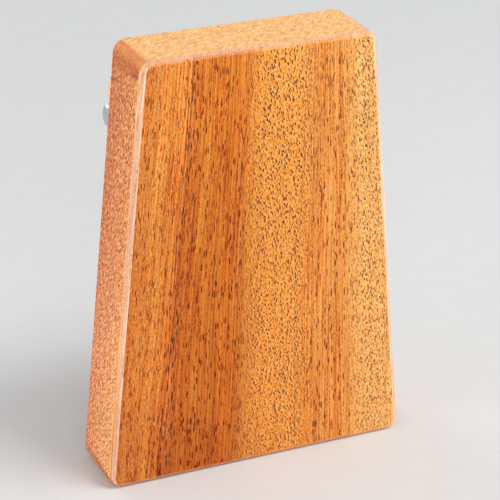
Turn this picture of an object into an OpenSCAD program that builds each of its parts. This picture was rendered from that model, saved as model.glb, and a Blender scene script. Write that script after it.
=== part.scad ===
// Palm-size kalimba: a solid hardwood board with a row of spring-steel tines clamped across its front.
// The board stands on its wide end. +Z runs up to the narrow end, the tines face -Y,
// and the origin is the middle of the wide end.

/* [Board] */
// Length from the wide end to the narrow end
board_length = 110; // [105:1:140]
// Width across the narrow end
board_narrow = 60; // [58:1:76]
// Width across the wide end
board_wide = 80; // [72:1:100]
// Thickness from front to back
board_thick = 19; // [15:0.5:26]
// Radius of the four corners, seen from the front
corner_r = 3.5; // [2.5:0.25:8]
// Round-over along the front and back edges
edge_r = 1.5; // [0.5:0.25:2.25]

/* [Bridges] */
// Distance of the saddle line from the narrow end
saddle_from_end = 31.4; // [29:0.1:38]
// Height of the saddle's top above the board
saddle_height = 6.2; // [5.6:0.1:9]
// Diameter of the saddle rod
saddle_d = 2; // [1.4:0.1:2.6]
// Distance from the saddle line back to the rear bridge's crest
rear_from_saddle = 15.8; // [14.8:0.1:18]
// Radius of the rear bridge's crest
crest_r = 1.2; // [0.8:0.1:1.6]
// Slope of the rear bridge's top behind its crest, in degrees
crest_slope = 20; // [8:1:24]
// Width of the rear bridge, along the board
rear_bridge_w = 6; // [5:0.25:7.5]
// Width of the front bridge's foot, along the board
front_bridge_w = 7; // [5.5:0.25:8]
// Width of the front bridge's flat top
front_bridge_top = 3.4; // [3.2:0.1:5]
// Height of the front bridge's upright foot
front_bridge_foot = 1.5; // [0.8:0.1:2.5]
// Distance of the bridges' ends from the board's sides
bridge_inset = 1.4; // [0.8:0.1:3]

/* [Pressure bar] */
// Diameter of the pressure bar
bar_d = 6; // [5:0.1:7]
// Distance from the saddle line back to the bar's line
bar_from_saddle = 7.6; // [7.2:0.1:8.4]
// Chamfer at the ends of the bar and of the saddle rod
rod_chamfer = 0.4; // [0.2:0.1:0.6]
// Distance of the bar's and the saddle rod's ends from the bridges' ends
rod_inset = 1.5; // [0.5:0.1:3]
// Diameter of a screw's shank
screw_d = 2.4; // [2:0.1:2.5]
// Length of a screw under its head
screw_length = 20; // [18:1:24]
// Length of a screw's pointed tip
screw_point = 2.5; // [1.5:0.1:4]
// Diameter of a screw's head
screw_head_d = 4.4; // [3.6:0.1:4.4]
// Height of a screw's head
screw_head_h = 1.7; // [1.3:0.1:2.2]
// Height of the straight rim of a screw's head
screw_rim_h = 0.7; // [0.3:0.1:1]
// Width of the slots of a screw's cross recess
recess_w = 0.6; // [0.4:0.1:0.8]
// Length of the slots of a screw's cross recess
recess_l = 2.4; // [1.6:0.1:2.8]
// Depth of a screw's cross recess
recess_depth = 0.9; // [0.5:0.1:1]
// Depth of the flat seat cut into the bar under each head
seat_depth = 1; // [0.7:0.1:1.4]

/* [Tines] */
// Number of tines
tine_count = 8; // [4:2:8]
// Distance between neighbouring tines
tine_pitch = 6.2; // [6:0.1:7]
// Thickness of the spring-steel strip
tine_t = 1; // [0.8:0.05:1.2]
// Width of a tine's shank, under the bar
shank_w = 3.2; // [2.4:0.1:3.3]
// Width of a tine's blade at its playing end
blade_w = 4.8; // [3.8:0.1:5.4]
// Length of a tine's tail behind the rear bridge's crest
tail_length = 8; // [6:0.5:10]
// Rise of the tines towards their playing ends, in degrees
tine_rise = 4; // [1:0.5:6]
// Lowest note, in hertz
lowest_note = 261.63; // [246.94, 261.63, 277.18, 293.66]
// Length of a blade's upturned tip
tip_length = 8; // [5:0.5:10]
// Radius of the upturn, on the upper face of the tip
tip_curve_r = 24; // [16:1:40]
// Corner radius of the playing end
tip_corner_r = 1.8; // [0.8:0.1:1.8]
// Share of a tine's free length between the saddle and the line that it bends about
flex_share = 0.15; // [0.12:0.01:0.18]

/* [Clearances] */
// Gap between a tine and each piece that it bears on
slip_gap = 0.08; // [0.05:0.01:0.15]
// Gap round a screw in the bar's hole
hole_gap = 0.1; // [0.05:0.05:0.25]
// Gap round a piece that sits in a groove or a drilled hole
seat_gap = 0.02; // [0.01:0.01:0.05]
// Gap between a blade's round root and the hollow in its shank
root_gap = 0.05; // [0.03:0.01:0.1]
// Depth of the hollow in the end of a shank
root_hollow = 0.15; // [0.1:0.01:0.2]
// Room left under a screw's point in its hole
point_room = 0.5; // [0.2:0.1:1.5]

/* [Hidden] */
$fn = 64;
hull_fn = 32;
arc_steps = 10;
cut = 0.1; // overshoot of a cutting tool past the face it leaves
trim_turn = 3; // degrees of upturn that are bent past the playing end and trimmed off

// Notes: the longest tine is just right of the middle, and the scale climbs outwards from side to side
major_scale = [0, 2, 4, 5, 7, 9, 11];
function degree(i) = let (j = i - 1 - tine_count / 2) j >= 0 ? 2 * j : -2 * j - 1;
function semitone(d) = 12 * floor(d / 7) + major_scale[d % 7];
function note(i) = lowest_note * pow(2, semitone(degree(i)) / 12);

// Free length from the note: a bar clamped at one end sounds at mode^2 * speed * t / (2 pi sqrt(12) length^2)
clamped_mode = 1.8751;
steel_speed = 5.05e6; // speed of sound in spring steel, mm/s
function tine_length(i) = clamped_mode * sqrt(steel_speed * tine_t / (2 * PI * sqrt(12) * note(i)));
function flex_at(i) = flex_share * tine_length(i);
function tine_x(i) = (i - (tine_count + 1) / 2) * tine_pitch;

// Bench frame: the board on its back, X across, Y from the wide end to the narrow end, Z up from the front.
// A point of the tine line is s towards the tip from the saddle's top, and n out from the tines' underside.
saddle_y = board_length - saddle_from_end;
function on_bench(s, n) = [
    saddle_y - s * cos(tine_rise) + n * sin(tine_rise),
    saddle_height + s * sin(tine_rise) + n * cos(tine_rise)
];
saddle_c = on_bench(0, -saddle_d / 2);
crest_c = on_bench(-rear_from_saddle, -crest_r);
bar_c = on_bench(-bar_from_saddle, 2 * slip_gap + tine_t + bar_d / 2);

// Board outline: centres of the four corner arcs
function board_half(y) = (board_wide + (board_narrow - board_wide) * y / board_length) / 2;
side_tilt = atan((board_wide - board_narrow) / 2 / board_length);
function corner_x(y) = board_half(y) - corner_r / cos(side_tilt);
corner_low = [corner_x(corner_r), corner_r];
corner_high = [corner_x(board_length - corner_r), board_length - corner_r];
corners = [
    corner_low,
    corner_high,
    [-corner_high[0], corner_high[1]],
    [-corner_low[0], corner_low[1]]
];

// Bridges and rods
rear_back_y = crest_c[0] - crest_r + rear_bridge_w;
bridge_half = board_half(rear_back_y) - bridge_inset;
rod_half = bridge_half - rod_inset;
front_bridge_h = saddle_c[1];

// Screws, one in the middle gap and one in the gap inside each outer tine
screw_x = [for (k = [-1, 0, 1]) k * (tine_count / 2 - 1) * tine_pitch];
seat_z = bar_c[1] + bar_d / 2 - seat_depth;
pilot_depth = screw_length - seat_z + point_room;

wood = "#c9763a";
pale_wood = "#e3bd8c";
steel = "#b9babc";
spring_steel = "#a9abae";

function arc(centre, r, from, to) = [
    for (k = [0 : arc_steps]) let (a = from + (to - from) * k / arc_steps) centre + r * [cos(a), sin(a)]
];

module upright() {
    rotate([90, 0, 0]) translate([0, 0, board_thick / 2]) children();
}

module on_tine_line(x) {
    translate([x, saddle_y, saddle_height]) rotate([-tine_rise, 0, 0]) rotate([0, 0, -90]) children();
}

// A bar across the board, from a profile in the bench frame's Y and Z
module across(half) {
    translate([-half, 0, 0]) rotate([90, 0, 90]) linear_extrude(2 * half) children();
}

// Rim of the board, from a corner's centre out to the edge
module rim_profile() {
    translate([0, -board_thick]) square([corner_r - edge_r, board_thick]);
    translate([0, edge_r - board_thick]) square([corner_r, board_thick - 2 * edge_r]);
    for (z = [-edge_r, edge_r - board_thick]) {
        translate([corner_r - edge_r, z]) intersection() {
            circle(edge_r);
            translate([0, -edge_r]) square([edge_r, 2 * edge_r]);
        }
    }
}

module board_block() {
    hull() for (centre = corners) {
        translate(centre) rotate_extrude($fn = hull_fn) rim_profile($fn = hull_fn);
    }
}

module board() {
    color(wood) upright() difference() {
        board_block();
        for (x = screw_x) {
            translate([x, bar_c[0], -pilot_depth]) cylinder(d = screw_d + 2 * seat_gap, h = pilot_depth + cut);
        }
    }
}

module rear_bridge() {
    crest = arc(crest_c, crest_r, 180, 90 - crest_slope);
    top = crest[arc_steps];
    back_z = top[1] - (rear_back_y - top[0]) * tan(crest_slope);
    color(pale_wood) upright() across(bridge_half)
        polygon(concat([[crest[0][0], 0]], crest, [[rear_back_y, back_z], [rear_back_y, 0]]));
}

module front_bridge() {
    foot = front_bridge_w / 2;
    top = front_bridge_top / 2;
    color(pale_wood) upright() difference() {
        across(bridge_half) translate([saddle_c[0], 0]) polygon([
            [-foot, 0], [foot, 0], [foot, front_bridge_foot],
            [top, front_bridge_h], [-top, front_bridge_h], [-foot, front_bridge_foot]
        ]);
        across(bridge_half + cut) translate(saddle_c) circle(d = saddle_d + 2 * seat_gap);
    }
}

// A round rod across the board with chamfered ends
module cross_rod(centre, d) {
    translate([0, centre[0], centre[1]]) rotate([0, 90, 0]) rotate_extrude() polygon([
        [0, -rod_half], [d / 2 - rod_chamfer, -rod_half], [d / 2, rod_chamfer - rod_half],
        [d / 2, rod_half - rod_chamfer], [d / 2 - rod_chamfer, rod_half], [0, rod_half]
    ]);
}

module saddle_rod() {
    color(steel) upright() cross_rod(saddle_c, saddle_d);
}

module pressure_bar() {
    color(steel) upright() difference() {
        cross_rod(bar_c, bar_d);
        for (x = screw_x) {
            translate([x, bar_c[0], bar_c[1] - bar_d]) cylinder(d = screw_d + 2 * hole_gap, h = 2 * bar_d);
            translate([x, bar_c[0], seat_z]) cylinder(d = screw_head_d + 2 * hole_gap, h = bar_d);
        }
    }
}

// A pan-head wood screw, with the underside of its head at the origin
module wood_screw() {
    dome_h = screw_head_h - screw_rim_h;
    dome_r = (pow(screw_head_d / 2, 2) + pow(dome_h, 2)) / (2 * dome_h);
    difference() {
        intersection() {
            cylinder(d = screw_head_d, h = screw_head_h);
            translate([0, 0, screw_head_h - dome_r]) sphere(dome_r);
        }
        for (turn = [0, 90]) {
            rotate([0, 0, turn]) translate([-recess_l / 2, -recess_w / 2, screw_head_h - recess_depth])
                cube([recess_l, recess_w, screw_head_h]);
        }
    }
    translate([0, 0, screw_point - screw_length]) cylinder(d = screw_d, h = screw_length - screw_point);
    translate([0, 0, -screw_length]) cylinder(d1 = 0, d2 = screw_d, h = screw_point);
}

module pressure_screws() {
    color(steel) upright() for (x = screw_x) {
        translate([x, bar_c[0], seat_z]) wood_screw();
    }
}

// Shank: the straight strip from the tail to just short of the flex line, hollowed at its end
module tine_shank(i) {
    tail = rear_from_saddle + tail_length;
    hollow_r = tine_t / 2 + root_gap;
    shank_end = flex_at(i) - hollow_r + root_hollow;
    color(spring_steel) upright() on_tine_line(tine_x(i)) difference() {
        translate([-tail, -shank_w / 2, slip_gap]) cube([tail + shank_end, shank_w, tine_t]);
        translate([flex_at(i), 0, slip_gap + tine_t / 2]) rotate([90, 0, 0])
            cylinder(r = hollow_r, h = shank_w + 2 * cut, center = true);
    }
}

// Outline of a blade seen square to the strip, from its flex line to its playing end
module blade_outline(from, to) {
    shoulder = to - tip_corner_r;
    inner = blade_w / 2 - tip_corner_r;
    translate([from - tine_t, -shank_w / 2]) square([tine_t, shank_w]);
    polygon([
        [from, -shank_w / 2], [shoulder, -blade_w / 2], [to, -inner],
        [to, inner], [shoulder, blade_w / 2], [from, shank_w / 2]
    ]);
    for (side = [-1, 1]) {
        translate([shoulder, side * inner]) circle(tip_corner_r);
    }
}

// Blade: round at the flex line, straight, then turned up at its playing end
module tine_blade(i) {
    flex = flex_at(i);
    bend = tine_length(i) - tip_length;
    mid_r = tip_curve_r + tine_t / 2;
    turn = tip_length / mid_r * 180 / PI;
    tip = bend + mid_r * sin(turn);
    centre = [bend, slip_gap + tine_t + tip_curve_r];
    under = arc(centre, tip_curve_r + tine_t, -90, trim_turn + turn - 90);
    over = arc(centre, tip_curve_r, trim_turn + turn - 90, -90);
    side = concat([[flex, slip_gap + tine_t], [flex, slip_gap]], under, over);
    color(spring_steel) upright() on_tine_line(tine_x(i)) intersection() {
        rotate([90, 0, 0]) linear_extrude(blade_w, center = true) {
            polygon(side);
            translate([flex, slip_gap + tine_t / 2]) circle(d = tine_t);
        }
        linear_extrude(tip_curve_r) blade_outline(flex, tip);
    }
}

board();
rear_bridge();
front_bridge();
saddle_rod();
pressure_bar();
pressure_screws();
for (i = [1 : tine_count]) {
    tine_shank(i);
    tine_blade(i);
}
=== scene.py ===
# %% [markdown]
# A palm-size kalimba, in the frame of its CAD model. The real thing is one block of mahogany with a row
# of spring-steel tines clamped across its front. The CAD model already holds every size and joint, so
# this lesson only dresses it. Each cell makes one piece or one finish, and the piece then rides on the
# CAD body that moves it.

# %% Load the frame
import math

import bmesh
import bpy
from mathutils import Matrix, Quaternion, Vector


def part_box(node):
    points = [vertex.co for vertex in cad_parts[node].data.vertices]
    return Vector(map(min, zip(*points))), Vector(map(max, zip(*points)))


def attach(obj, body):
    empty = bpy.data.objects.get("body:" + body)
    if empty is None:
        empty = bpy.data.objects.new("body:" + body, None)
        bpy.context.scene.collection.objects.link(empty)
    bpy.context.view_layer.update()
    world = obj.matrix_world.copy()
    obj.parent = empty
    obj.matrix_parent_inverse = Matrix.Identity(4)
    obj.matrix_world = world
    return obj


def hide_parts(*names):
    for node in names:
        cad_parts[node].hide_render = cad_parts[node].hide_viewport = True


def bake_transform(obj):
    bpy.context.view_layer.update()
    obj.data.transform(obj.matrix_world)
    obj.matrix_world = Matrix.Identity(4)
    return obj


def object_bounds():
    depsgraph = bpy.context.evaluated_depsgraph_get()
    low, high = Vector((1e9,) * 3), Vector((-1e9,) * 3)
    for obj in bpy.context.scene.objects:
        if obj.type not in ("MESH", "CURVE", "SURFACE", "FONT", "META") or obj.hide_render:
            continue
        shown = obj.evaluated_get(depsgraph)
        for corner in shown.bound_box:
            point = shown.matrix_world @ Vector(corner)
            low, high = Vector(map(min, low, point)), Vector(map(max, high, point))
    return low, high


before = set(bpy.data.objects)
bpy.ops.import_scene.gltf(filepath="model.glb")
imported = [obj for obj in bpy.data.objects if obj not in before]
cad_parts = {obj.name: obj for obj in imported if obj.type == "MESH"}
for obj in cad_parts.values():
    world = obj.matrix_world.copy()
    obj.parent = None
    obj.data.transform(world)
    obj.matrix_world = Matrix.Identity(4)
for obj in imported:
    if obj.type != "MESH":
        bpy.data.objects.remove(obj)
cad_low, cad_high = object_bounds()
scene = bpy.context.scene
MM = 0.001

# %% [markdown]
# The camera comes first, because every later choice is judged through it. The photograph shows the back
# of the board from a little above and to one side, with the sides almost parallel. That means a long lens
# from half a metre away. A place, an aim point, a lens and a little roll describe it fully.

# %% Camera
eye = Vector((200.7, 445.7, 280.1)) * MM
aim = Vector((2.68, 9.47, 58.48)) * MM
camera_lens = 157.8
camera_roll = math.radians(0.48)

camera = bpy.data.objects.new("photo_camera", bpy.data.cameras.new("photo_camera"))
scene.collection.objects.link(camera)
scene.camera = camera
camera.location = eye
camera.rotation_mode = "QUATERNION"
camera.rotation_quaternion = (aim - eye).to_track_quat("-Z", "Y") @ Quaternion((0, 0, 1), camera_roll)
camera.data.lens = camera_lens
print("camera to aim point in mm:", round((aim - eye).length / MM))

# %% [markdown]
# Colours are written as sRGB hex values, the way a paint program shows them. Blender's sockets want
# linear light, so one function turns them. Another adds a node with its settings. Inputs are given by
# socket, and each takes either a plain value or the node or output that feeds it.

# %% Colour and node helpers
def linear(hex_colour):
    """Linear RGBA of an sRGB hex colour such as #c9763a."""
    channels = [int(hex_colour[start:start + 2], 16) / 255 for start in (1, 3, 5)]
    return [c / 12.92 if c <= 0.04045 else ((c + 0.055) / 1.055) ** 2.4 for c in channels] + [1.0]


def feed(tree, node, inputs):
    """Gives a node its inputs: plain values are set on the socket, and nodes or outputs are linked to it."""
    for socket, value in dict(inputs).items():
        if isinstance(value, bpy.types.Node):
            value = value.outputs[0]
        if isinstance(value, bpy.types.NodeSocket):
            tree.links.new(value, node.inputs[socket])
        else:
            node.inputs[socket].default_value = value


def add(tree, kind, inputs=(), stops=(), **settings):
    """Adds one shader node with its settings, its inputs and, on a colour ramp, its stops."""
    made = tree.nodes.new("ShaderNode" + kind)
    for option, value in settings.items():
        setattr(made, option, value)
    feed(tree, made, inputs)
    for number, (place, colour) in enumerate(stops):
        elements = made.color_ramp.elements
        element = elements[number] if number < 2 else elements.new(place)
        element.position = place
        element.color = colour
    return made


def new_finish(name, constants):
    """A material with one Principled shader, whose constant sockets are set directly."""
    finish = bpy.data.materials.new(name)
    finish.use_nodes = True
    shader = finish.node_tree.nodes["Principled BSDF"]
    feed(finish.node_tree, shader, constants)
    return finish, finish.node_tree, shader


print("mahogany orange in linear light:", [round(c, 3) for c in linear("#d07a34")])

# %% [markdown]
# The photograph has a pale grey ground and soft light from above, from behind the camera and from both
# sides. A studio gets that from a white room and a few big softboxes. The room comes first, as a plain
# world. It lights the object with a low white. The camera and shiny things see it as the pale ground
# instead, so that steel mirrors a bright room.

# %% Studio room
ground_grey = linear("#dedfdf")
room_light = 0.42

scene.view_settings.view_transform = "Standard"
world = bpy.data.worlds.new("studio_room")
scene.world = world
world.use_nodes = True
room = world.node_tree
room.nodes.clear()
path = add(room, "LightPath")
to_eye = path.outputs["Is Camera Ray"]
to_shine = path.outputs["Is Glossy Ray"]
seen = add(room, "Math", {0: to_eye, 1: to_shine}, operation="MAXIMUM")
lit = add(room, "Background", {"Color": linear("#ffffff"), "Strength": room_light})
shown = add(room, "Background", {"Color": ground_grey, "Strength": 1.0})
both = add(room, "MixShader", {0: seen, 1: lit, 2: shown})
add(room, "OutputWorld", {"Surface": both})
print("room nodes:", len(room.nodes))

# %% [markdown]
# Five softboxes stand round the board. The one overhead lights the narrow end, the key stands behind the
# camera and lights the back, one on either hand lights a long side, and one in front lights the tines.
# Two low panels lie on the floor beside the board and shine up. A photographer places such panels to draw
# an edge, because a round-over mirrors each of them as a thin bright line. All are weak enough that a
# colour renders about as it is written.

# %% Softboxes
lit_middle = Vector((0, 0, 0.06))   # the point that a softbox faces
face_up = Quaternion((1, 0, 0), math.pi)


def softbox(name, place, size, watts):
    """A rectangular area lamp, with its place and size in metres, that faces the middle of the board."""
    lamp = bpy.data.lights.new(name, "AREA")
    lamp.shape = "RECTANGLE"
    lamp.size, lamp.size_y = size
    lamp.energy = watts
    made = bpy.data.objects.new(name, lamp)
    scene.collection.objects.link(made)
    made.location = place
    made.rotation_mode = "QUATERNION"
    made.rotation_quaternion = (lit_middle - made.location).to_track_quat("-Z", "Y")
    return made


softbox("overhead_softbox", (-0.3, 0.38, 0.85), (0.4, 0.4), 4.4)
softbox("key_softbox", (0.3, 0.95, 0.5), (0.5, 0.5), 2.2)
softbox("right_softbox", (-1.2, 0.25, 0.22), (0.9, 0.4), 9)
softbox("left_softbox", (1.2, 0.15, 0.22), (0.9, 0.4), 6.5)
softbox("front_softbox", (0.5, -0.95, 0.5), (0.6, 0.6), 2.8)
left_panel = softbox("low_left_panel", (0.18, 0.05, 0.002), (0.2, 0.26), 0.14)
right_panel = softbox("low_right_panel", (-0.21, -0.015, 0.002), (0.14, 0.17), 0.16)
for panel in (left_panel, right_panel):
    panel.rotation_quaternion = face_up

# %% [markdown]
# The floor is one large matt sheet that the board stands on. It fills the picture behind the board too,
# because the camera looks down on it. A faint mottle keeps it from being a dead flat colour. Far from the
# lamps it would turn dark, so a little way behind the board it fades into the pale room, like a studio's
# seamless paper.

# %% Floor
floor_half = 1.5
fade_start = 0.25      # distance from the board, in metres, at which the sheet begins to fade
fade_end = 0.6
mottle_size = 7.5      # in millimetres
paper_tones = [(0.3, linear("#d9dada")), (0.7, linear("#dbdcdc"))]

sheet = bmesh.new()
bmesh.ops.create_grid(sheet, x_segments=1, y_segments=1, size=floor_half)
floor_mesh = bpy.data.meshes.new("studio_floor")
sheet.to_mesh(floor_mesh)
sheet.free()
floor = bpy.data.objects.new("studio_floor", floor_mesh)
scene.collection.objects.link(floor)
floor.location.z = cad_low.z
paper, paper_tree, paper_shader = new_finish("matt_grey_paper", {"Roughness": 0.9, "Specular IOR Level": 0.2})
felted = add(paper_tree, "TexNoise", {"Scale": 2 * floor_half / (mottle_size * MM), "Detail": 2.0})
fibres = add(paper_tree, "ValToRGB", {0: felted}, stops=paper_tones)
feed(paper_tree, paper_shader, {"Base Color": fibres})
spot = add(paper_tree, "NewGeometry").outputs["Position"]
away = add(paper_tree, "VectorMath", {0: spot}, operation="LENGTH").outputs["Value"]
fade = add(paper_tree, "MapRange", {0: away, 1: fade_start, 2: fade_end}, interpolation_type="SMOOTHSTEP")
seamless = add(paper_tree, "MixShader", {0: fade, 1: paper_shader, 2: add(paper_tree, "BsdfTransparent")})
feed(paper_tree, paper_tree.nodes["Material Output"], {"Surface": seamless})
floor.data.materials.append(paper)
print("floor side in m:", 2 * floor_half)

# %% [markdown]
# Mahogany is what the eye meets first. It is an open-pored wood: dark dots are vessels cut across, dark
# ticks are vessels that run along the surface and open here and there. Its grain is interlocked, which
# means that the fibres lean one way in one stripe and another way in the next. A stripe whose fibres dive
# into the face shows dots and a golden shine. A stripe whose fibres lie flat shows ticks and fine streaks
# and looks redder.
#
# A picture could be wrapped round the block, but it would smear at the edges. A solid texture is better:
# colour is worked out from the place of a point inside the block, so that the back, the sides and the
# ends agree. The first cell finds where a point lies in the grain: across it, into it and along it, all
# in millimetres.

# %% Mahogany: place in the grain
board_low, board_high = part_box("board")
mid_height = (board_low.z + board_high.z) / 2 / MM
front_mm = board_low.y / MM
fan_line = -12.7       # x of the one grain line that runs straight up the board
fan_distance = 400     # from the board's middle up to where the fanned grain lines would meet
wander = 0.6           # how far a grain line wanders sideways
wander_size = (14, 14, 50)
stripe_span = 84       # width that the stripes are drawn over, a little more than the board
wander_range = {1: 0.2, 2: 0.8}  # input range of a Map Range node, by socket, for the noise that wanders
noise_range = {1: 0.3, 2: 0.7}   # the same for other noise, which seldom leaves it


def millimetres(tree):
    """Output for a point's place on its own piece, in millimetres."""
    point = add(tree, "TexCoord").outputs["Object"]
    return add(tree, "VectorMath", {0: point, "Scale": 1 / MM}, operation="SCALE")


def stretched_noise(tree, place, size, detail):
    """Noise whose detail has this size in millimetres, one number for each direction."""
    scaled = add(tree, "Mapping", {"Vector": place, "Scale": size}, vector_type="TEXTURE")
    return add(tree, "TexNoise", {"Vector": scaled, "Scale": 1.0, "Detail": detail})


def grain_place(tree, place):
    """Outputs for the place in the grain, as a vector, and for the share across the stripes, from 0 to 1."""
    apart = add(tree, "SeparateXYZ", {0: place})
    drift = stretched_noise(tree, place, wander_size, 1.0)
    drift = add(tree, "MapRange", {0: drift, **wander_range, 3: -wander - fan_line, 4: wander - fan_line})
    drop = add(tree, "Math", {0: mid_height, 1: apart.outputs["Z"]}, operation="SUBTRACT")
    spread = add(tree, "Math", {0: drop, 1: 1 / fan_distance, 2: 1.0}, operation="MULTIPLY_ADD")
    moved = add(tree, "Math", {0: apart.outputs["X"], 1: drift}, operation="ADD")
    across = add(tree, "Math", {0: moved, 1: spread}, operation="DIVIDE")
    across = add(tree, "Math", {0: across, 1: fan_line}, operation="ADD")
    share = add(tree, "MapRange", {0: across, 1: -stripe_span / 2, 2: stripe_span / 2})
    grain = add(tree, "CombineXYZ", {0: across, 1: apart.outputs["Y"], 2: apart.outputs["Z"]})
    return grain, share


edge_lean = math.degrees((board_high.x / MM - fan_line) / fan_distance)
print("grain lines lean at the board's far edge by", round(edge_lean, 1), "degrees")

# %% [markdown]
# The broad stripes come from one colour ramp across the grain, with a stop at each change that shows in
# the wood. A second ramp says how steeply the fibres dive into the face in each stripe, from 0 for fibres
# that lie flat to 1. A third marks two dark veins, where the vessels are filled with a nearly black gum.
# Fine streaks shift all three a little, so that no stripe ends in a ruled line.

# %% Mahogany: stripes
stripe_colours = [
    (38, "#c86c28"), (27, "#dc812f"), (22.6, "#d87628"), (21.8, "#be5e20"), (20.6, "#c8661c"),
    (16, "#cd6f1e"), (10, "#ca6818"), (5.8, "#d06c1e"), (4.9, "#c0641e"), (4, "#da802c"), (-2, "#e8923a"),
    (-11, "#e9953e"), (-14.5, "#e28939"), (-22, "#e58e3c"), (-27, "#f1aa59"), (-38, "#f4af5f"),
]
stripe_dives = [
    (38, 0.3), (25, 0.25), (21, 0), (6, 0), (1, 0.9), (-10, 1),
    (-15, 0.1), (-23, 0.1), (-28, 0.9), (-33, 0.8), (-36, 0.1),
]
stripe_veins = [(23, 0), (22.2, 1), (20.6, 0.85), (19, 0.2), (14, 0), (7, 0), (5.6, 0.8), (4.6, 0.6), (4, 0)]
ragged = 1.6           # how far streaks break up the edge of a stripe


def stripe(offset):
    """Place of a stripe on a colour ramp, from its distance to the board's middle line in millimetres."""
    return offset / stripe_span + 0.5


def stripes(tree, share, streak):
    """Outputs for the stripe's colour, for how steeply its fibres dive into the face, and for dark veins."""
    ramps = [[(stripe(place), linear(colour)) for place, colour in reversed(stripe_colours)]]
    for levels in (stripe_dives, stripe_veins):
        ramps.append([(stripe(place), (level, level, level, 1.0)) for place, level in reversed(levels)])
    reach = ragged / stripe_span
    broken = add(tree, "MapRange", {0: streak, **noise_range, 3: -reach, 4: reach})
    broken = add(tree, "Math", {0: share, 1: broken}, operation="ADD")
    return [add(tree, "ValToRGB", {0: broken}, stops=stops) for stops in ramps]


print("stops for colour, dive and veins:", len(stripe_colours), len(stripe_dives), len(stripe_veins))

# %% [markdown]
# The block shows several kinds of surface. The wide faces show the stripes. The long sides show the flat
# of the growth rings and are redder. The ends show the fibres cut square. Edges and corners are sanded
# last, by hand, which closes their pores. The way that a point faces tells most of them apart: the three
# parts of its normal, squared, add up to 1, so they are the shares of facing across, through and along
# the board. An edge faces two ways at once.

# %% Mahogany: sides, ends and edges
side_from = 0.8                   # what faces across by more than this is a long side
end_none, end_full = 0.76, 0.985  # end grain fades in between these shares of facing along
edge_none, edge_full = 0.003, 0.03  # the same for an edge, by its share through times the rest


def facing(tree):
    """Outputs for the shares of facing across, through and along the board, and of all but through."""
    normal = add(tree, "NewGeometry").outputs["Normal"]
    squared = add(tree, "VectorMath", {0: normal, 1: normal}, operation="MULTIPLY")
    across, through, along = add(tree, "SeparateXYZ", {0: squared}).outputs
    outward = add(tree, "Math", {0: across, 1: along}, operation="ADD")
    return across, through, along, outward


def flat_kinds(tree, across, through, along, outward):
    """Outputs that are 1 on the long sides, on the ends and on the sanded edges, by name."""
    side = add(tree, "Math", {0: across, 1: side_from}, operation="GREATER_THAN")
    end = add(tree, "MapRange", {0: along, 1: end_none, 2: end_full}, interpolation_type="SMOOTHSTEP")
    edge = add(tree, "Math", {0: through, 1: outward}, operation="MULTIPLY")
    edge = add(tree, "MapRange", {0: edge, 1: edge_none, 2: edge_full}, interpolation_type="SMOOTHSTEP")
    return {"side": side, "end": end, "edge": edge}


print("end grain is full within", round(math.degrees(math.acos(math.sqrt(end_full))), 1), "degrees of square")

# %% [markdown]
# The corners between the sides and the ends are rounded under a sander, which browns them a little. The
# brown reaches on to the flat of the side and stops there at a clear slanting line, so it can't be told
# from the way a point faces. Its place tells it: its distance to the nearer end, against a reach that
# shrinks from the front to the back.

# %% Mahogany: browned corners
brown_front = 6.5      # how far from an end the brown reaches at the front of a long side
brown_back = 4.6       # the same at the back
brown_less = 1.2       # how much shorter it is at the wide end
brown_blur = 0.4       # width of the slanting line
brown_faint = 0.35     # strength at the front, against 1 at the back
upright_none, upright_full = 0.2, 0.02   # the brown stops where an edge turns to the wide face


def browned_corners(tree, place, through):
    """Outputs for how brown a corner is and for the distance to the nearer end in millimetres."""
    apart = add(tree, "SeparateXYZ", {0: place}).outputs
    off_middle = add(tree, "Math", {0: apart["Z"], 1: mid_height - brown_less / 2}, operation="SUBTRACT")
    off_middle = add(tree, "Math", {0: off_middle}, operation="ABSOLUTE")
    to_end = add(tree, "Math", {0: mid_height + brown_less / 2, 1: off_middle}, operation="SUBTRACT")
    depth = {0: apart["Y"], 1: front_mm, 2: -front_mm}
    reach = add(tree, "MapRange", {**depth, 3: brown_front, 4: brown_back})
    strength = add(tree, "MapRange", {**depth, 3: brown_faint, 4: 1.0})
    inside = add(tree, "Math", {0: reach, 1: to_end}, operation="SUBTRACT")
    corner = add(tree, "MapRange", {0: inside, 2: brown_blur}, interpolation_type="SMOOTHSTEP")
    upright = add(tree, "MapRange", {0: through, 1: upright_none, 2: upright_full},
                  interpolation_type="SMOOTHSTEP")
    corner = add(tree, "Math", {0: corner, 1: upright}, operation="MULTIPLY")
    return add(tree, "Math", {0: corner, 1: strength}, operation="MULTIPLY"), to_end


print("brown reaches from the narrow end, in mm:", brown_back, "to", brown_front)

# %% [markdown]
# Sanding takes the darker skin off the round-overs, and pale wood shows. The pale strip is also a
# painted highlight, creamiest where the round-over meets the wide face, standing in for the shine that
# the edges catch. It is palest along the sides. Along the ends it fades towards the wide face. Towards
# the foot of the board the pale strip starts further round, as the painted highlight narrows there.

# %% Mahogany: pale edges and painted highlight
pale_most = 0.85       # share of the pale colour along the sides
pale_least = 0.1       # the same where an end's edge meets the wide face
level_from = 0.5       # from here on, an edge that faces along the board counts as an end's edge
fade_from = 0.3        # share of facing through at which an end's edge begins to fade
narrow_strip_height = 70     # height up to which the pale strip and its painted highlight start further round
foot_start = 0.35      # share of facing through at which the pale strip starts at the foot
pale_ramp = 0.1        # share of facing through over which the strip fades in


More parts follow.
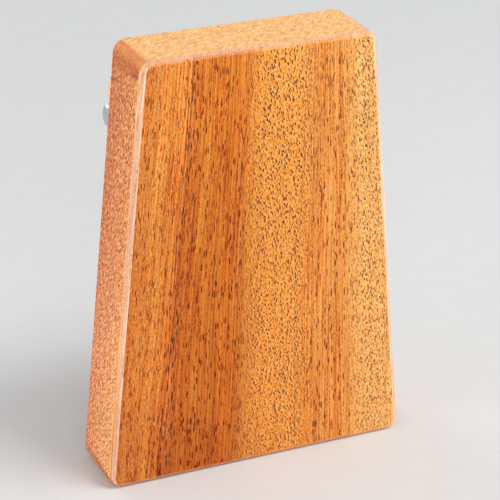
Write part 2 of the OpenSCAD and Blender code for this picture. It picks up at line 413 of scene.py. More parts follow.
def worn_and_lit_edges(tree, place, edge, through, along, outward):
    """Output for the pale share of the edges: sanded wood with a painted highlight over it."""
    level = add(tree, "Math", {0: along, 1: outward}, operation="DIVIDE")
    faint = add(tree, "MapRange", {0: through, 1: fade_from, 2: 1.0, 3: pale_most, 4: pale_least})
    pale = add(tree, "MapRange", {0: level, 1: level_from, 3: pale_most, 4: faint})
    height = add(tree, "SeparateXYZ", {0: place}).outputs["Z"]
    start = add(tree, "MapRange", {0: height, 2: narrow_strip_height, 3: foot_start, 4: -pale_ramp})
    eased = add(tree, "Math", {0: through, 1: start}, operation="SUBTRACT")
    eased = add(tree, "MapRange", {0: eased, 2: pale_ramp})
    pale = add(tree, "Math", {0: pale, 1: edge}, operation="MULTIPLY")
    return add(tree, "Math", {0: pale, 1: eased}, operation="MULTIPLY")


foot_turn = math.degrees(math.asin(math.sqrt(foot_start)))
print("pale strip at the foot starts at", round(foot_turn), "degrees of turn")

# %% [markdown]
# Now the broad colour. The stripes get lighter up the board, more so on one hand than on the other,
# and a tint by height gives that. The sides darken towards the front. Towards the foot they are painted
# paler, standing in for light bounced up off the floor. Each kind of surface is then laid over the
# stripes in turn, like a coat of paint through a mask.

# %% Mahogany: broad colour
# Tints by height: darker at the foot and lighter up the board, more so on one hand than on the other.
height_tints = [(0, (0.87, 0.79, 0.8, 1)), (0.13, (0.97, 0.92, 0.89, 1)), (0.5, (0.985, 0.985, 0.98, 1)),
                (0.75, (1.03, 1.08, 1.14, 1)), (1, (1.15, 1.27, 1.45, 1))]
tint_gain = {1: 0.2, 2: 0.85, 3: 0.5, 4: 1.6}   # share across the stripes, and strength of the tint there
side_colours = [(0, linear("#c6612a")), (1, linear("#e08439"))]
# Tints by height on the long sides: the paler foot is painted light, standing in for light bounced up off the
# floor.
side_bounce_tints = [(0, (1.28, 1.75, 2.7, 1)), (0.5, (1, 1.06, 1.12, 1))]
corner_colours = [(0.1, linear("#e08744")), (0.3, linear("#b65e28")), (0.65, linear("#a3552e"))]
corner_span = 10.0     # distance to the end, in millimetres, that the corner's ramp covers
end_colour = linear("#f8bd7a")
# Colours of the edges by how far they turn: the cream next to the wide face is a painted highlight over
# sanded wood.
worn_lit_edge_colours = [(0.1, linear("#e7b692")), (0.6, linear("#e2a67c")), (0.9, linear("#f0c9a8"))]
band_size = (1.6, 1.6, 60)
band_shades = {3: 0.88, 4: 1.1}


def wood_colour(tree, place, grain, share, stripe_colour, kinds):
    """Output for the broad colour of the block, before streaks and pores."""
    apart = add(tree, "SeparateXYZ", {0: place}).outputs
    height = add(tree, "MapRange", {0: apart["Z"], 2: 2 * mid_height})
    centred = add(tree, "Math", {0: height, 1: 0.5}, operation="SUBTRACT")
    gain = add(tree, "MapRange", {0: share, **tint_gain})
    tilted = add(tree, "Math", {0: centred, 1: gain, 2: 0.5}, operation="MULTIPLY_ADD")
    tint = add(tree, "ValToRGB", {0: tilted}, stops=height_tints)
    colour = add(tree, "VectorMath", {0: stripe_colour, 1: tint}, operation="MULTIPLY")
    depth = add(tree, "MapRange", {0: apart["Y"], 1: front_mm, 2: -front_mm})
    flank = add(tree, "ValToRGB", {0: depth}, stops=side_colours)
    # Painted light: the sides are tinted paler towards the foot, as light bounced up off the floor would make
    # them.
    painted_bounce_tint = add(tree, "ValToRGB", {0: height}, stops=side_bounce_tints)
    flank = add(tree, "VectorMath", {0: flank, 1: painted_bounce_tint}, operation="MULTIPLY")
    # The pale edge colour is sanded wood with a painted highlight over it.
    worn_lit_edge_colour = add(tree, "ValToRGB", {0: kinds["turn"]}, stops=worn_lit_edge_colours)
    near_end = add(tree, "Math", {0: kinds["to_end"], 1: corner_span}, operation="DIVIDE")
    corner_colour = add(tree, "ValToRGB", {0: near_end}, stops=corner_colours)
    coats = {"side": flank, "corner": corner_colour, "end": end_colour, "pale": worn_lit_edge_colour}
    for kind, coat in coats.items():
        colour = add(tree, "Mix", {0: kinds[kind], 6: colour, 7: coat}, data_type="RGBA").outputs[2]
    band = stretched_noise(tree, grain, band_size, 2.0)
    shade = add(tree, "MapRange", {0: band, **noise_range, **band_shades})
    return add(tree, "VectorMath", {0: colour, "Scale": shade}, operation="SCALE")


print("coats over the stripes: sides, corners, ends, edges")

# %% [markdown]
# Fine light and dark comes next. Fibres that lie flat show as streaks, which are noise stretched along
# the grain. Fibres that dive are leaned over before they are cut and show as short flecks, on the long
# sides too. The ends show fine rays at a slant. A little grit breaks all of it up. One number per kind of
# surface sets the contrast: sanded places are calm, and the sides are bold. Real fibres are hundredths of
# a millimetre wide. They are drawn at about a pixel, because finer ones would blur away.

# %% Mahogany: streaks and flecks
streak_size = (0.3, 0.3, 24)
fleck_size = (0.31, 0.31, 1.5)
side_fleck_size = (0.27, 0.27, 1.5)
grit_size = (0.22, 0.22, 0.7)
ray_size = (1.8, 0.35, 0.35)
ray_slant = math.radians(36)
ray_range = {3: 0.2, 4: 0.8}
grit_range = {3: -0.7, 4: -0.3}       # grit less the middle of the streaks, so that the sum is around 0
flat_contrast, dive_contrast = 1.05, 1.0
contrasts = {"side": 2.9, "corner": 0.6, "end": 1.0, "edge": 0.6}
face_lean = (0.18, 0.5, 0)            # lean of diving fibres on the wide faces: sideways and into the board
side_lean = (0.3, 0.6, 0)             # the same on the long sides


def leaned(tree, grain, side):
    """Place in the grain for fibres that lean over."""
    lean = add(tree, "Mix", {0: side, 4: face_lean, 5: side_lean}, data_type="VECTOR").outputs[1]
    along = add(tree, "SeparateXYZ", {0: grain}).outputs["Z"]
    shift = add(tree, "VectorMath", {0: lean, "Scale": along}, operation="SCALE")
    return add(tree, "VectorMath", {0: grain, 1: shift}, operation="SUBTRACT")


def wood_streaks(tree, place, leaning, streak, dive, kinds):
    """Output for the fine light and dark of the wood, around 0.5."""
    fleck = stretched_noise(tree, leaning, fleck_size, 1.0)
    side_fleck = stretched_noise(tree, leaning, side_fleck_size, 0.0)
    fleck = add(tree, "Mix", {0: kinds["side"], 2: fleck, 3: side_fleck})
    slanted = add(tree, "Mapping", {"Vector": place, "Scale": ray_size, "Rotation": (0, 0, ray_slant)},
                  vector_type="TEXTURE")
    rays = add(tree, "TexNoise", {"Vector": slanted, "Scale": 1.0, "Detail": 2.0})
    rays = add(tree, "MapRange", {0: rays, **ray_range})
    fine = add(tree, "Mix", {0: dive, 2: streak, 3: fleck})
    fine = add(tree, "Mix", {0: kinds["edge"], 2: fine, 3: streak})
    fine = add(tree, "Mix", {0: kinds["end"], 2: fine, 3: rays})
    grit = stretched_noise(tree, place, grit_size, 0.0)
    grit = add(tree, "MapRange", {0: grit, **grit_range})
    fine = add(tree, "Math", {0: fine, 1: grit}, operation="ADD")
    contrast = add(tree, "MapRange", {0: dive, 3: flat_contrast, 4: dive_contrast})
    for kind, strength in contrasts.items():
        contrast = add(tree, "MapRange", {0: kinds[kind], 3: contrast, 4: strength})
    return add(tree, "Math", {0: fine, 1: contrast, 2: 0.5}, operation="MULTIPLY_ADD")


print("contrasts:", contrasts)

# %% [markdown]
# Pores are the cells of a Voronoi texture, stretched along the grain: each cell holds one vessel, and a
# point is inside the vessel where it is close to the cell's own point. Vessels that lie flat show as
# ticks, and those that dive show as dots. The veins add a row of dashes. A shifted copy of the dots
# paints a pale highlight on one lip of each dot, standing in for the glint of lacquer gathered there.
# Towards the foot the dots are filled more. Sanding shuts most pores. Real vessels are about a fifth of
# a millimetre wide, under a pixel here, so they are drawn about twice as wide.

# %% Mahogany: open pores
# Each vessel has the size of its cell, a dark core and a rim in shares of the cell,
# and the chance up to which it is empty.
tick = {"size": (0.42, 0.42, 2.6), "core": 0.37, "rim": 0.43, "empty": 0.4}
dash = {"size": (0.46, 0.46, 2.6), "core": 0.36, "rim": 0.44, "empty": 0.2}
dot = {"size": (0.62, 0.62, 7), "core": 0.31, "rim": 0.4, "empty": -0.15}
# Cells for the painted highlight on one lip of each dot.
glint_dot = {**dot, "core": 0.2, "rim": 0.36}
glint_shift = (0.34, 0, 0.2)
chance_spread = 0.4    # spread of chance over which a vessel goes from empty to fully open
dot_height = 80        # height up to which the dots open more and more
dot_range = {3: 0.7, 4: 0.95}   # how open the dots are at the foot and at that height
side_open = 0.5        # how dark pores are on the sides, against the faces
shut_open = 0.2        # the same where sanding or lacquer has shut them
glint_strength = 0.5


def pores(tree, place, size, core, rim, empty):
    """Output for open vessels: 1 in the core of a cell, 0 outside its rim and in the cells that are empty."""
    cells = add(tree, "Mapping", {"Vector": place, "Scale": size}, vector_type="TEXTURE")
    cells = add(tree, "TexVoronoi", {"Vector": cells, "Scale": 1.0})
    chance = add(tree, "SeparateXYZ", {0: cells.outputs["Color"]})
    strength = add(tree, "MapRange", {0: chance.outputs["X"], 1: empty, 2: empty + chance_spread})
    return add(tree, "MapRange", {0: cells.outputs["Distance"], 1: rim, 2: core, 4: strength},
               interpolation_type="SMOOTHSTEP")


def open_pores(tree, place, grain, leaning, dive, vein, kinds):
    """Outputs for the dark of open pores and for the painted highlight on one lip beside each dot."""
    height = add(tree, "SeparateXYZ", {0: place}).outputs["Z"]
    open_share = add(tree, "MapRange", {0: height, 2: dot_height, **dot_range})
    dots = add(tree, "Math", {0: pores(tree, leaning, **dot), 1: open_share}, operation="MULTIPLY")
    pore = add(tree, "Mix", {0: dive, 2: pores(tree, grain, **tick), 3: dots})
    dashes = add(tree, "Math", {0: pores(tree, grain, **dash), 1: vein}, operation="MULTIPLY")
    pore = add(tree, "Math", {0: pore, 1: dashes}, operation="MAXIMUM")
    shut = add(tree, "Math", {0: kinds["edge"], 1: kinds["corner"]}, operation="MAXIMUM")
    shut = add(tree, "Math", {0: shut, 1: kinds["end"]}, operation="MAXIMUM")
    ajar = add(tree, "MapRange", {0: kinds["side"], 3: 1.0, 4: side_open})
    ajar = add(tree, "MapRange", {0: shut, 3: ajar, 4: shut_open})
    pore = add(tree, "Math", {0: pore, 1: ajar}, operation="MULTIPLY")
    beside = add(tree, "VectorMath", {0: leaning, 1: glint_shift}, operation="ADD")
    glint_rims = add(tree, "Math", {0: pores(tree, beside, **glint_dot), 1: dive}, operation="MULTIPLY")
    strength = add(tree, "MapRange", {0: shut, 3: glint_strength, 4: 0.0})
    return pore, add(tree, "Math", {0: glint_rims, 1: strength}, operation="MULTIPLY")


print("cubic mm per tick, dash and dot:", [round(math.prod(kind["size"]), 2) for kind in (tick, dash, dot)])

# %% [markdown]
# Last, the layers are stacked into one finish. Light and dark wood differ in hue as well as in strength:
# dark streaks are redder and pale ones yellower, so the streaks multiply the colour by a tint. A thin
# satin lacquer gives all of it a broad soft shine. Open pores, end grain and the browned corners drink it
# up and stay dull, which the roughness shows. The pores are sunken too, so a Bump node takes their depth.

# %% Mahogany: the finish
streak_tints = [(0.34, (0.66, 0.4, 0.18, 1)), (0.45, (0.97, 0.94, 0.9, 1)), (0.55, (1.03, 1.07, 1.15, 1)),
                (0.68, (1.14, 1.6, 2.5, 1))]
pore_colour = linear("#680b00")
gum_colour = linear("#4c140c")
painted_glint_colour = linear("#ffd08c")
pore_depth = 0.06
satin_rough, thirsty_rough = 0.34, 0.75
corner_thirst = 0.6    # how dull a browned corner is, against bare end grain


def wood_kinds(tree, place):
    """Outputs for all kinds of surface by name, with an edge's turn and the distance to the nearer end."""
    across, through, along, outward = facing(tree)
    kinds = flat_kinds(tree, across, through, along, outward)
    kinds["corner"], kinds["to_end"] = browned_corners(tree, place, through)
    kinds["pale"] = worn_and_lit_edges(tree, place, kinds["edge"], through, along, outward)
    kinds["turn"] = through
    return kinds


def mahogany():
    """Sanded mahogany under a thin satin lacquer: orange-brown stripes, dark pores, a soft broad shine."""
    finish, tree, shader = new_finish("mahogany_satin_lacquer", {"IOR": 1.5, "Specular IOR Level": 0.2})
    place = millimetres(tree)
    kinds = wood_kinds(tree, place)
    grain, share = grain_place(tree, place)
    leaning = leaned(tree, grain, kinds["side"])
    streak = stretched_noise(tree, grain, streak_size, 2.0)
    stripe_colour, dive, vein = stripes(tree, share, streak)
    dive = add(tree, "Math", {0: dive, 1: kinds["side"]}, operation="MAXIMUM")

    colour = wood_colour(tree, place, grain, share, stripe_colour, kinds)
    fine = wood_streaks(tree, place, leaning, streak, dive, kinds)
    tint = add(tree, "ValToRGB", {0: fine}, stops=streak_tints)
    colour = add(tree, "VectorMath", {0: colour, 1: tint}, operation="MULTIPLY")
    pore, painted_glint = open_pores(tree, place, grain, leaning, dive, vein, kinds)
    # Painted highlight: one lip of each pore is lit pale, as a glint of lacquer would be.
    colour = add(tree, "Mix", {0: painted_glint, 6: colour, 7: painted_glint_colour}, data_type="RGBA").outputs[2]
    inside = add(tree, "Mix", {0: vein, 6: pore_colour, 7: gum_colour}, data_type="RGBA").outputs[2]
    colour = add(tree, "Mix", {0: pore, 6: colour, 7: inside}, data_type="RGBA").outputs[2]

    thirsty = add(tree, "Math", {0: kinds["corner"], 1: corner_thirst}, operation="MULTIPLY")
    thirsty = add(tree, "Math", {0: thirsty, 1: kinds["end"]}, operation="MAXIMUM")
    thirsty = add(tree, "Math", {0: thirsty, 1: pore}, operation="MAXIMUM")
    rough = add(tree, "MapRange", {0: thirsty, 3: satin_rough, 4: thirsty_rough})
    sunk = add(tree, "Bump", {"Strength": 0.4, "Distance": pore_depth * MM, "Height": pore}, invert=True)
    feed(tree, shader, {"Base Color": colour, "Roughness": rough, "Normal": sunk})
    return finish


wood = mahogany()
print("finish:", wood.name, "with", len(wood.node_tree.nodes), "nodes")

# %% [markdown]
# Most pieces here are skins over outlines: draw an outline, draw it again further on, and join the two
# point by point. It needs few helpers, and every edge lies where a maker's tool would leave it. Weighted
# normals let the wide faces decide the shading, so that they stay flat right up to a narrow round.

# %% Shapes from outlines
def rounded(corners, radius, steps):
    """A closed outline with each corner replaced by an arc that touches both of its sides."""
    outline = []
    for number, corner in enumerate(corners):
        corner = Vector(corner)
        back = (Vector(corners[number - 1]) - corner).normalized()
        on = (Vector(corners[(number + 1) % len(corners)]) - corner).normalized()
        half = back.angle(on) / 2
        centre = corner + (back + on).normalized() * (radius / math.sin(half))
        middle = (corner - centre).normalized()
        turn = math.pi / 2 - half
        for step in range(steps + 1):
            angle = turn * (2 * step / steps - 1)
            arm = Vector((middle.x * math.cos(angle) - middle.y * math.sin(angle),
                          middle.x * math.sin(angle) + middle.y * math.cos(angle)))
            outline.append(centre + arm * radius)
    return outline


def skin(work, loops):
    """Adds a closed solid to a bmesh: loops of points in millimetres, joined in turn, with both ends shut."""
    rings = [[work.verts.new(point * MM) for point in loop] for loop in loops]
    count = len(rings[0])
    for lower, upper in zip(rings, rings[1:]):
        for place in range(count):
            following = (place + 1) % count
            work.faces.new([lower[place], lower[following], upper[following], upper[place]])
    work.faces.new(rings[0])
    work.faces.new(rings[-1])


def new_piece(name, work, finish):
    """Turns a bmesh into a smooth-shaded scene object with its finish."""
    bmesh.ops.recalc_face_normals(work, faces=work.faces)
    mesh = bpy.data.meshes.new(name)
    work.to_mesh(mesh)
    work.free()
    mesh.materials.append(finish)
    mesh.shade_smooth()
    made = bpy.data.objects.new(name, mesh)
    scene.collection.objects.link(made)
    return made


def crisp(piece, degrees):
    """Keeps edges sharper than this angle sharp and lets wide faces decide the shading of narrow ones."""
    piece.data.set_sharp_from_angle(angle=math.radians(degrees))
    weighted = piece.modifiers.new("flat_faces", "WEIGHTED_NORMAL")
    weighted.keep_sharp = True


print("a square with round corners has", len(rounded([(0, 0), (1, 0), (1, 1), (0, 1)], 0.1, 4)), "points")

# %% [markdown]
# The board is a trapezoid with rounded corners and a small round-over along its front and back edges. A
# maker saws the outline, then sands edges and corners round by hand. A Bevel modifier would make every
# round alike. Here the outline is drawn again at each step of the round-over: a little further in, a
# little nearer to the face and with a tighter corner, as sanding leaves it. A skin over all those
# outlines is the board.

# %% Board
board_length = (board_high.z - board_low.z) / MM
half_thick = board_high.y / MM
low_half = 40
high_half = 30
corner_radius = 3.5
face_corner = 1.1      # radius that sanding leaves at the corners of the wide faces
edge_radius = 1.5
edge_steps = 7
corner_steps = 16


def board_outline(inset):
    """The board's outline, moved in on all sides as far as the round-over goes at this step."""
    lean = (low_half - high_half) / board_length
    corners = []
    for up, signs in ((inset, (-1, 1)), (board_length - inset, (1, -1))):
        half = low_half - lean * up - inset * math.hypot(1, lean)
        corners += [(sign * half, up) for sign in signs]
    radius = corner_radius + (face_corner - corner_radius) * inset / edge_radius
    return rounded(corners, radius, corner_steps)


turns = [math.pi / 2 * step / edge_steps for step in range(edge_steps + 1)]
back_round = [(edge_radius * (1 - math.cos(a)), half_thick - edge_radius * (1 - math.sin(a))) for a in turns]
front_round = [(inset, -depth) for inset, depth in reversed(back_round)]
work = bmesh.new()
skin(work, [[Vector((point.x, depth, point.y)) for point in board_outline(inset)]
            for inset, depth in front_round + back_round])
board = new_piece("mahogany_board", work, wood)
crisp(board, degrees=60)
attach(board, "board")
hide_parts("board")
print("board faces:", len(board.data.polygons))

# %% [markdown]
# Two strips of maple are glued across the front. Maple is pale, hard and close-grained, so that the tines
# don't dent it. A maker planes a long stick to the profile and saws strips off it, so the grain runs
# along each strip. It has no pores that the eye can see: faint tan streaks, with a slight relief where
# the grain is harder, and short silky flecks are enough.

# %% Maple
maple_streak = (26, 0.7, 0.7)
maple_fleck = (2.4, 0.35, 0.35)
maple_relief = 0.05    # height of the ridges that a plane leaves where the grain is harder
maple_tones = [(0.3, linear("#d3a66f")), (0.62, linear("#efcb9c"))]
fleck_shades = {3: 0.9, 4: 1.08}
fleck_rough = {3: 0.5, 4: 0.36}


def maple():
    """Planed maple under thin oil: cream, with faint tan streaks along the strip and a dull silky shine."""
    finish, tree, shader = new_finish("maple_thin_oil", {"IOR": 1.5})
    place = millimetres(tree)
    streak = stretched_noise(tree, place, maple_streak, 3.0)
    fleck = stretched_noise(tree, place, maple_fleck, 1.0)
    tone = add(tree, "ValToRGB", {0: streak}, stops=maple_tones)
    silky = add(tree, "MapRange", {0: fleck, **noise_range, **fleck_shades})
    colour = add(tree, "VectorMath", {0: tone, "Scale": silky}, operation="SCALE")
    rough = add(tree, "MapRange", {0: fleck, **noise_range, **fleck_rough})
    planed = add(tree, "Bump", {"Strength": 0.5, "Distance": maple_relief * MM, "Height": streak})
    feed(tree, shader, {"Base Color": colour, "Roughness": rough, "Normal": planed})
    return finish


pale_wood = maple()
print("finish:", pale_wood.name, "with", len(pale_wood.node_tree.nodes), "nodes")

# %% [markdown]
# Everything on the front is set out from the saddle, the line where the tines leave their clamp. The
# tines rise by four degrees towards their playing ends, so a second pair of directions is handy: s runs
# along a tine towards its tip and n stands square off it. One function turns s and n into a place up the
# board and a height above it, and another turns those into space.

# %% Set out the front
saddle_z = 78.6
saddle_height = 6.2
saddle_radius = 1
tine_rise = math.radians(4)
tine_thick = 1
slip_gap = 0.08        # room above and below a tine, so that it can slide
rod_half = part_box("saddle_rod")[1].x / MM
bridge_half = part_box("rear_bridge")[1].x / MM


def above_front(x, z, height):
    """A point in space from its place on the front and its height above it, all in millimetres."""
    return Vector((x, front_mm - height, z))


def on_tine(s, n):
    """Place up the board and height above it, from s along a tine and n off its underside."""
    up = saddle_z - s * math.cos(tine_rise) + n * math.sin(tine_rise)
    height = saddle_height + s * math.sin(tine_rise) + n * math.cos(tine_rise)
    return up, height


print("saddle to narrow end in mm:", round(board_length - saddle_z, 1))

# %% [markdown]
# The rear bridge has a round crest that the tines bear on and slopes away behind it. The front bridge has
# an upright foot, two slopes and a flat top with a round groove for the saddle rod. Both outlines start a
# little inside the board, so that the glue line is a clean crease.

# %% Bridges
glue_depth = 0.4
crest_behind = -15.8   # place of the crest along the tines
crest_radius = 1.2
crest_slope = math.radians(20)
crest_steps = 14
rear_width = 6
foot_half = 3.5
foot_height = 1.5
top_half = 1.7
groove_radius = 1.02
groove_steps = 16
bridge_ease = 0.25     # radius of the eased edges
bridge_edge = math.radians(35)


def arc(centre, radius, start, stop, steps):
    """Points of an arc, from one angle to another in degrees."""
    turns = [math.radians(start + (stop - start) * step / steps) for step in range(steps + 1)]
    return [Vector((centre[0] + radius * math.cos(a), centre[1] + radius * math.sin(a))) for a in turns]


def strip(name, profile, node):
    """A maple strip across the board from a profile of place up the board and height."""
    work = bmesh.new()
    skin(work, [[above_front(x, point.x, point.y) for point in profile] for x in (-bridge_half, bridge_half)])
    made = new_piece(name, work, pale_wood)
    plane = made.modifiers.new("eased_edges", "BEVEL")
    plane.width = bridge_ease * MM
    plane.segments = 3
    plane.limit_method = "ANGLE"
    plane.angle_limit = bridge_edge
    plane.harden_normals = True
    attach(made, "board")
    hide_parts(node)
    return made


crest_centre = on_tine(crest_behind, -crest_radius)
crest = arc(crest_centre, crest_radius, 180, 70, crest_steps)
rear_back = crest[0].x + rear_width
rear_drop = (rear_back - crest[-1].x) * math.tan(crest_slope)
rear_profile = [Vector((crest[0].x, -glue_depth))] + crest
rear_profile += [Vector((rear_back, crest[-1].y - rear_drop)), Vector((rear_back, -glue_depth))]
strip("maple_rear_bridge", rear_profile, "rear_bridge")

saddle_centre = on_tine(0, -saddle_radius)
groove = arc(saddle_centre, groove_radius, 180, 360, groove_steps)
slope = [(foot_half, -glue_depth), (foot_half, foot_height), (top_half, saddle_centre[1])]
wide_side = [Vector((saddle_centre[0] - x, y)) for x, y in slope]
narrow_side = [Vector((saddle_centre[0] + x, y)) for x, y in reversed(slope)]
strip("maple_front_bridge", wide_side + groove + narrow_side, "front_bridge")
print("rear bridge height in mm:", round(max(point.y for point in rear_profile), 2))

# %% [markdown]
# The metal comes next. Cold-drawn rod and rolled strip both carry fine marks along the way they were
# pulled. The marks change the colour of bare steel little and its shine more, and they can be felt, so
# one stretched noise drives colour, roughness and a very low relief. Plated screws have a grain without a
# direction instead. Real marks are a few hundredths of a millimetre wide. Here they are drawn about ten
# times as wide, because finer ones would only flicker between pixels.

# %% Steel
mark_depth = 0.006     # just enough to bend a reflection
mark_range = {1: 0.35, 2: 0.65}


def drawn_steel(name, dark, pale, marks, smooth, rough):
    """Bare steel with marks of this size: grey, and shinier along some marks than along others."""
    finish, tree, shader = new_finish(name, {"Metallic": 1.0})
    lines = stretched_noise(tree, millimetres(tree), marks, 3.0)
    stops = [(mark_range[1], linear(dark)), (mark_range[2], linear(pale))]
    colour = add(tree, "ValToRGB", {0: lines}, stops=stops)
    shine = add(tree, "MapRange", {0: lines, **mark_range, 3: rough, 4: smooth})
    drawn = add(tree, "Bump", {"Strength": 0.5, "Distance": mark_depth * MM, "Height": lines})
    feed(tree, shader, {"Base Color": colour, "Roughness": shine, "Normal": drawn})
    return finish


polished = drawn_steel("polished_drawn_steel", "#b4b5b7", "#cfd0d1", (12, 0.35, 0.35), 0.16, 0.26)
plated = drawn_steel("nickel_plated_steel", "#bdb8ae", "#d6d2c8", (0.5, 0.5, 0.5), 0.2, 0.32)
spring = drawn_steel("satin_spring_steel", "#acaeb1", "#c0c2c4", (0.3, 0.3, 14), 0.17, 0.27)
print("steels:", polished.name, plated.name, spring.name)

# %% [markdown]
# Rods and screw heads are turned on a lathe, and so are their meshes: a profile of distance along the
# axis and radius is spun round. Edges are broken with a small chamfer, because a real edge always catches
# a line of light. Holes and slots are then cut with Boolean modifiers, and the result is kept as a plain
# mesh.

# %% Lathe and cutter
def spin(work, profile, steps, to_space):
    """Adds a turned solid to a bmesh, from a profile of distance along the axis and radius."""
    turns = [2 * math.pi * step / steps for step in range(steps)]
    skin(work, [[to_space(along, radius, turn) for turn in turns] for along, radius in profile])


def cut(piece, cutters):
    """Cuts other solids out of a piece for good and throws the cutters away."""
    for cutter in cutters:
        knife = piece.modifiers.new("cut", "BOOLEAN")
        knife.object = cutter
    graph = bpy.context.evaluated_depsgraph_get()
    solid = bpy.data.meshes.new_from_object(piece.evaluated_get(graph))
    piece.modifiers.clear()
    piece.data = solid
    solid.shade_smooth()
    for cutter in cutters:
        bpy.data.objects.remove(cutter)


print("lathe and cutter ready")

# %% [markdown]
# The pressure bar is a six-millimetre rod that clamps the tines. Its screws sit in flat-bottomed seats,
# so that their heads don't rock on the round. Thinner rod makes the saddle. Both have a chamfer at each
# end.

# %% Rods
rod_chamfer = 0.4
edge_break = 0.08
rod_steps = 72
bar_behind = -7.6      # place of the pressure bar along the tines
bar_radius = 3
seat_depth = 1
seat_radius = 2.3
hole_radius = 1.3
drill_top = 20
drill_steps = 48
screw_places = (-18.6, 0, 18.6)

bar_up, bar_height = on_tine(bar_behind, 2 * slip_gap + tine_thick + bar_radius)
bar_top = bar_height + bar_radius
seat_height = bar_top - seat_depth


def across_board(centre):
    """A function from place along a rod, radius and turn to space, for a rod that lies across the board."""
    up, height = centre
    return lambda along, radius, turn: above_front(along, up + radius * math.cos(turn),
                                                   height + radius * math.sin(turn))


def off_board(x):
    """The same for a turned piece that stands square off the board, on the pressure bar's line."""
    return lambda along, radius, turn: above_front(x + radius * math.cos(turn),
                                                   bar_up + radius * math.sin(turn), along)


def rod(name, centre, radius, node):
    """A polished rod across the board with chamfered ends."""
    corner = [(-rod_half, radius - rod_chamfer - edge_break), (-rod_half + edge_break, radius - rod_chamfer),
              (-rod_half + rod_chamfer - edge_break, radius - edge_break), (-rod_half + rod_chamfer, radius)]
    mirrored = [(-along, r) for along, r in reversed(corner)]
    work = bmesh.new()
    spin(work, corner + mirrored, rod_steps, across_board(centre))
    made = new_piece(name, work, polished)
    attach(made, "board")
    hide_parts(node)
    return made


def drill(x, radius, low):
    """A plain cylinder to cut with, square to the board."""
    work = bmesh.new()
    spin(work, [(low, radius), (drill_top, radius)], drill_steps, off_board(x))
    return new_piece("drill", work, polished)


saddle_rod = rod("saddle_rod_steel", saddle_centre, saddle_radius, "saddle_rod")
crisp(saddle_rod, degrees=40)
bar = rod("pressure_bar_steel", (bar_up, bar_height), bar_radius, "pressure_bar")
cut(bar, [drill(x, hole_radius, 0) for x in screw_places])
cut(bar, [drill(x, seat_radius, seat_height) for x in screw_places])
crisp(bar, degrees=40)
print("pressure bar above the front in mm:", round(bar_height - bar_radius, 2), "to", round(bar_top, 2))

# %% [markdown]
# Three pan-head wood screws pull the bar down. A pan head is a low dome on a short rim, which the lathe
# gives. A cross recess is punched into it, wider at its mouth, and a tapered cross cuts that.

# %% Screw heads
head_radius = 2.2
head_height = 1.7
rim_height = 0.7
dome_steps = 10
recess_depth = 0.9
recess_long = 1.2
recess_half = 0.3
recess_floor = 0.65    # size of the recess at its floor, against the cross as it is drawn
cutter_over = 1        # how far the cutter stands out of the head
cutter_flare = 1.3     # size of the cutter at its top, against the cross as it is drawn


def head_profile():
    """Half of a pan head, from the edge of its underside to the top of its dome."""
    dome_height = head_height - rim_height
    dome_radius = (head_radius ** 2 + dome_height ** 2) / (2 * dome_height)
    middle = seat_height + head_height - dome_radius
    reach = math.asin((head_radius - edge_break) / dome_radius)
    dome = [reach * (1 - step / dome_steps) for step in range(dome_steps)]
    rim = [(seat_height, head_radius - edge_break), (seat_height + edge_break, head_radius),
           (seat_height + rim_height - edge_break, head_radius)]
    return rim + [(middle + dome_radius * math.cos(a), dome_radius * math.sin(a)) for a in dome]


def cross_cutter(x, turn):
    """A tapered cross to punch the recess with."""
    arm, half = recess_long, recess_half
    quarter = [(arm, -half), (arm, half), (half, half)]
    top = seat_height + head_height
    loops = []
    for height, share in ((top - recess_depth, recess_floor), (top + cutter_over, cutter_flare)):
        loop = []
        for step in range(4):
            angle = turn + math.pi / 2 * step
            for a, b in quarter:
                across = share * (a * math.cos(angle) - b * math.sin(angle))
                up = share * (a * math.sin(angle) + b * math.cos(angle))
                loop.append(above_front(x + across, bar_up + up, height))
        loops.append(loop)
    work = bmesh.new()
    skin(work, loops)
    return new_piece("cross_cutter", work, plated)


print("screw heads stand above the front by mm:", round(seat_height + head_height, 2))

# %% [markdown]
# The thread shows between the bar and the board. A helix could be swept, but a grid of points round the
# shank is simpler: its radius rises and falls with height plus turn, which is all that a thread is. Each
# screw stops at its own angle, as screws do. Head and thread become one mesh.

# %% Screws
thread_pitch = 1.0
thread_crest = 1.2
thread_root = 0.85
thread_steps = 28
thread_rows = 12       # rows of points in one turn
ridge_steep = 3.2      # how steeply the ridge rises, so that a flat root is left between ridges
point_length = 2.5
screw_length = 20
screw_turns = (0.35, 1.1, 0.8)


def thread(work, x):
    """Adds the threaded shank, from its point up to the underside of the head."""
    to_space = off_board(x)
    low = seat_height - screw_length
    count = round(screw_length / thread_pitch * thread_rows)
    loops = []
    for row in range(1, count + 1):
        along = low + screw_length * row / count
        taper = min(1, (along - low) / point_length)
        loop = []
        for step in range(thread_steps):
            phase = (along / thread_pitch - step / thread_steps) % 1
            ridge = max(0, 1 - abs(phase - 0.5) * ridge_steep)
            radius = taper * (thread_root + (thread_crest - thread_root) * ridge)
            loop.append(to_space(along, radius, 2 * math.pi * step / thread_steps))
        loops.append(loop)
    skin(work, loops)


for number, (x, turn) in enumerate(zip(screw_places, screw_turns), start=1):
    head_work = bmesh.new()
    spin(head_work, head_profile(), drill_steps, off_board(x))
    head = new_piece("head_blank", head_work, plated)
    cut(head, [cross_cutter(x, turn)])
    work = bmesh.new()
    thread(work, x)
    work.from_mesh(head.data)
    bpy.data.objects.remove(head)
    screw = new_piece("pressure_screw_" + str(number), work, plated)
    crisp(screw, degrees=35)
    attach(screw, "board")
    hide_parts("pressure_screws")
print("screws:", len(screw_places), "turns of thread on each:", screw_length / thread_pitch)

# %% [markdown]
# Eight tines make the sound. Each is one strip of spring steel: a straight shank under the bar, a blade
# that widens in front of the saddle, and an end that is turned up and rounded for the thumb. Shorter
# tines sound higher. A strip is a skin over many thin slices. The first cell gives a slice its width and
# its rounded long edges.

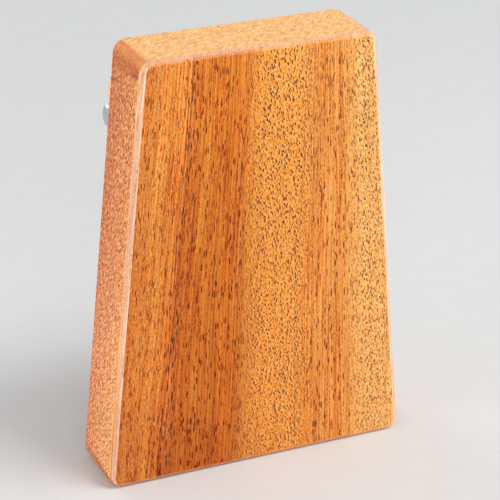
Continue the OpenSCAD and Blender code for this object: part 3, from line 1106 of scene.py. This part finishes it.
# %% Tine slices
tail_reach = 23.8      # length behind the saddle
shank_half = 1.6
blade_half = 2.4
flex_share = 0.15      # share of the free length at which the blade begins
tip_corner = 1.8
tine_edge = 0.22       # radius of the strip's long edges
flat_margin = 0.12     # a slice keeps extra points this far inside its flats, so that they shade flat
slice_step = 0.8
end_clear = 1.01       # even steps begin this many edge radii from an end, just clear of its rounding
tip_steps = 12
edge_arc_steps = 4


def tine_half_width(along, length):
    """Half the strip's width at a distance along it."""
    flex = flex_share * length
    shoulder = length - tip_corner
    if along <= flex:
        return shank_half
    if along <= shoulder:
        return shank_half + (blade_half - shank_half) * (along - flex) / (shoulder - flex)
    past = min(along - shoulder, tip_corner)
    return blade_half - tip_corner + math.sqrt(tip_corner ** 2 - past ** 2)


def slice_points(half_width, half_thick, edge):
    """Points round a slice of the strip, with rounded long edges."""
    points = []
    for quarter, (a, b) in enumerate(((1, 1), (-1, 1), (-1, -1), (1, -1))):
        centre = (a * (half_width - edge), b * (half_thick - edge))
        round_edge = arc(centre, edge, quarter * 90, quarter * 90 + 90, edge_arc_steps)
        margin = min(flat_margin, half_width - edge, half_thick - edge)
        before = round_edge[0] - Vector(((0, b), (a, 0))[quarter % 2]) * margin
        after = round_edge[-1] - Vector(((a, 0), (0, b))[quarter % 2]) * margin
        points += [before] + round_edge + [after]
    return points


def slice_stations(length):
    """Distances along the strip to slice it at: even steps, and closer ones at both ends and at the tip."""
    inner = tine_edge * end_clear
    span = length + tail_reach - 2 * inner
    steps = round(span / slice_step)
    even = [-tail_reach + inner + span * step / steps for step in range(steps + 1)]
    turns = [math.pi / 2 * step / tip_steps for step in range(1, tip_steps)]
    tip = [length - tip_corner + tip_corner * math.sin(turn) for turn in turns]
    quarter = [math.pi / 2 * step / edge_arc_steps for step in range(edge_arc_steps)]
    ends = [tine_edge * (1 - math.cos(turn)) for turn in quarter]
    stations = even + tip + [-tail_reach + end for end in ends] + [length - end for end in ends]
    return sorted(set(round(station, 4) for station in stations if -tail_reach <= station <= length))


print("points round a slice:", len(slice_points(shank_half, tine_thick / 2, tine_edge)))

# %% [markdown]
# In the CAD model a tine is two rigid halves with a hinge between them. A real tine bends; here it is
# one strip in place of both halves. The lengths follow the notes of a major scale, with the longest tine
# near the middle and the scale climbing outwards from side to side.

# %% Tines
tine_pitch = 6.2       # distance from tine to tine
tine_lengths = (39.48, 43.06, 48.33, 52.71, 55.84, 49.75, 45.62, 40.64)
tip_length = 8
tip_curve = 24         # radius of the upturned end
least_edge = 0.02      # smallest radius of the long edges, at the very ends
strip_sharp = math.radians(50)   # edges that turn more than this shade sharp
tine_middle = (len(tine_lengths) + 1) / 2


def tine_point(x, along, across, off, length):
    """A point of the strip in space, with its upturned end bent round an arc."""
    bend = length - tip_length
    if along <= bend:
        s, n = along, slip_gap + tine_thick / 2 + off
    else:
        turn = (along - bend) / (tip_curve + tine_thick / 2)
        radius = tip_curve + tine_thick / 2 - off
        s = bend + radius * math.sin(turn)
        n = slip_gap + tine_thick + tip_curve - radius * math.cos(turn)
    up, height = on_tine(s, n)
    return above_front(x + across, up, height)


def tine(number, x, length):
    """One spring-steel tine in place of its two CAD halves."""
    loops = []
    for along in slice_stations(length):
        to_end = min(along + tail_reach, length - along, tine_edge)
        inset = tine_edge - math.sqrt(tine_edge ** 2 - (tine_edge - to_end) ** 2)
        half_width = tine_half_width(along, length) - inset
        edge = max(tine_edge - inset, least_edge)
        section = slice_points(half_width, tine_thick / 2 - inset, edge)
        loops.append([tine_point(x, along, p.x, p.y, length) for p in section])
    work = bmesh.new()
    skin(work, loops)
    name = "tine_" + str(number)
    made = new_piece(name + "_strip", work, spring)
    made.data.set_sharp_from_angle(angle=strip_sharp)
    shank, blade = name + "_shank", name + "_blade"
    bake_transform(made)
    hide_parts(shank, blade)
    return made


for number, length in enumerate(tine_lengths, start=1):
    tine(number, tine_pitch * (number - tine_middle), length)
print("tines:", len(tine_lengths), "longest in mm:", max(tine_lengths) + tail_reach)
